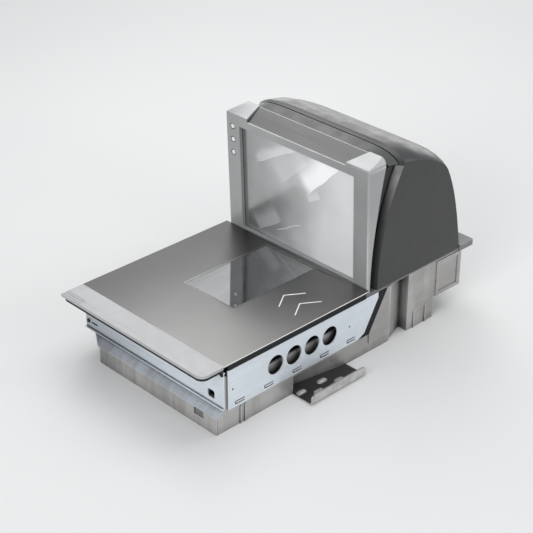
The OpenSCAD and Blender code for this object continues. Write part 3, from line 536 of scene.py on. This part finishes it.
def smooth_curve(points, steps):
    """Catmull-Rom curve through (y, z) points, with the given steps in each stretch."""
    ends = [points[0], *points, points[-1]]
    made = []
    for a, b, c, d in zip(ends, ends[1:], ends[2:], ends[3:]):
        for i in range(steps):
            t = i / steps
            made.append(tuple(0.5 * (2 * q + (r - p) * t + (2 * p - 5 * q + 4 * r - s) * t * t
                                     + (3 * q - p - 3 * r + s) * t ** 3) for p, q, r, s in zip(a, b, c, d)))
    return made + [points[-1]]


def build_ring(grid):
    """Front ring: the tongue that reaches into the bezel, the lip, and the band up to the joint."""
    loft(grid, [arch(TONGUE_FRONT), arch(TONGUE_BACK), arch(RING_LIP), arch(HOOD_JOINT, back=-2.0)])


def build_hood(grid):
    """Hood: the front band, the crowned top and back, and the two flat flanks."""
    half = HOOD_CREASE[3]
    band = loft(grid, [arch(HOOD_JOINT), arch(HOOD_CREASE)])
    crest = smooth_curve(HOOD_CREST, 4)[1:]
    rows = [band[1][SIDE_STEPS:-SIDE_STEPS]]
    for y, z in crest:
        fade = min(1.0, max(0.0, (SHOULDER_Y[1] - y) / (SHOULDER_Y[1] - SHOULDER_Y[0])))
        rows.append([grid.verts.new(p) for p in crown_row(y, half, z, HOOD_CREASE[5] * fade)])
    join_rows(grid, rows)
    grid.faces.new(band[1][:SIDE_STEPS] + [row[0] for row in rows])
    grid.faces.new(band[1][:-SIDE_STEPS - 1:-1] + [row[-1] for row in rows])


def build_hoods():
    for name, builder in (("hood_ring", build_ring), ("hood_shell", build_hood)):
        made = new_piece(name + "_skin", builder, name)
        wall = made.modifiers.new("wall", "SOLIDIFY")
        wall.thickness = 3 * MM
        wall.offset = -1.0
        round_edges(made, 1.4 * MM, 3, 24)


# ---------- carried-over CAD nodes ----------

# widths asked for, in millimetres; the other nodes take the small one
SMALL_ROUNDING = 0.2
EDGE_ROUNDING = {
    "base_casting": 1.0,
    "mounting_bracket": 0.5,
    "rear_deck_plate": 1.0,
    "bezel": 0.8,
    "deck_plate": 0.8,
    "deck_trim": 1.2,
    "deck_gasket": 0.8,
    "window_frame": 0.25,
    "weigh_frame": 0.8,
    "corner_plugs": 0.3,
    "optics_chassis": 0.4,
    "tower_frame": 0.3,
}

JOIN_FLAT_FACES = {"base_casting", "bezel", "deck_trim", "mounting_bracket", "rear_deck_plate"}

# thin sheets keep the crisp edges of the CAD
SHARP = {"left_side_panel", "right_side_panel", "front_panel"}


def finish_cad_nodes():
    """Gives every CAD node its finish, and rounds the edges of those that show."""
    for name, node in NODES.items():
        node.data.materials.clear()
        node.data.materials.append(OWN_MATERIAL.get(name) or MATERIALS[SLOT_OF[name]])
        weld = node.modifiers.new("weld", "WELD")
        weld.merge_threshold = 0.00001
        if name in JOIN_FLAT_FACES:
            flat = node.modifiers.new("flat", "DECIMATE")
            flat.decimate_type = "DISSOLVE"
            flat.angle_limit = radians(1)
        if name not in SHARP:
            round_edges(node, EDGE_ROUNDING.get(name, SMALL_ROUNDING) * MM)


def squash_load_cell():
    """Gives the load cell a mesh of its own."""
    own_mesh(NODES["load_cell"])


# ---------- stage ----------

def area_light(name, place, target, size, power, tint=(1.0, 1.0, 1.0)):
    data = bpy.data.lights.new(name, "AREA")
    data.shape = "RECTANGLE"
    data.size, data.size_y = size
    data.energy = power
    data.color = tint
    made = bpy.data.objects.new(name, data)
    bpy.context.scene.collection.objects.link(made)
    made.location = place
    made.rotation_euler = (Vector(target) - Vector(place)).to_track_quat("-Z", "Y").to_euler()
    made.visible_camera = False


def build_stage():
    """Plain pale floor under the base, soft lights and an even pale surround."""
    grid = bmesh.new()
    bmesh.ops.create_grid(grid, x_segments=1, y_segments=1, size=12.0)
    data = bpy.data.meshes.new("floor")
    grid.to_mesh(data)
    grid.free()
    floor = bpy.data.objects.new("floor", data)
    bpy.context.scene.collection.objects.link(floor)
    floor.location = (0.0, 0.0, CAD_BOX[0][2])
    pale = Recipe("floor_paint")
    cloud = pale.noise((3, 3, 3), 3.0)
    pale.set(Base_Color=pale.mix(cloud, grey(0.62), grey(0.65, (1.0, 0.995, 0.985))), Roughness=0.9)
    data.materials.append(pale.material)
    world = bpy.data.worlds.new("surround")
    world.use_nodes = True
    world.node_tree.nodes["Background"].inputs["Color"].default_value = (0.95, 0.97, 1.0, 1.0)
    world.node_tree.nodes["Background"].inputs["Strength"].default_value = 0.55
    bpy.context.scene.world = world
    middle = (0.0, 0.25, 0.0)
    area_light("overhead", (-0.3, 0.9, 2.2), middle, (2.2, 1.6), 22.0)
    area_light("front", (0.9, -2.3, 1.3), middle, (1.6, 1.2), 48.0)
    area_light("right", (2.2, 0.3, 0.9), middle, (1.2, 1.2), 10.0, (0.94, 0.97, 1.0))
    area_light("low_back", (-1.7, 2.3, 0.35), middle, (2.6, 0.9), 14.0)
    area_light("rim", (0.8, 1.9, 1.4), middle, (0.9, 0.9), 5.5)
    area_light("deck_sheen", (-0.80, 0.75, 1.05), (0.1, 0.05, 0.0), (0.6, 0.6), 3.3)
    area_light("window_sky", (-1.5, 1.5, 1.2), (0.0, 0.1, 0.0), (1.0, 0.9), 1.5)


def place_camera():
    """Camera to the operator's right, looking down on the deck, with a long lens."""
    azimuth, elevation = radians(46.1), radians(29.7)
    right = Vector((cos(azimuth), sin(azimuth), 0.0))
    back = Vector((sin(azimuth) * cos(elevation), -cos(azimuth) * cos(elevation), sin(elevation)))
    up = back.cross(right)
    data = bpy.data.cameras.new("camera")
    data.sensor_width = 36.0
    data.lens = 100.4
    camera = bpy.data.objects.new("camera", data)
    bpy.context.scene.collection.objects.link(camera)
    camera.matrix_world = Matrix.Translation((1.3258, -1.0214, 1.0519)) @ Matrix(
        (right, up, back)).transposed().to_4x4()
    bpy.context.scene.camera = camera
    bpy.context.scene.view_settings.view_transform = "Standard"


finish_cad_nodes()
squash_load_cell()
build_hoods()
build_stage()
place_camera()
bpy.context.view_layer.update()
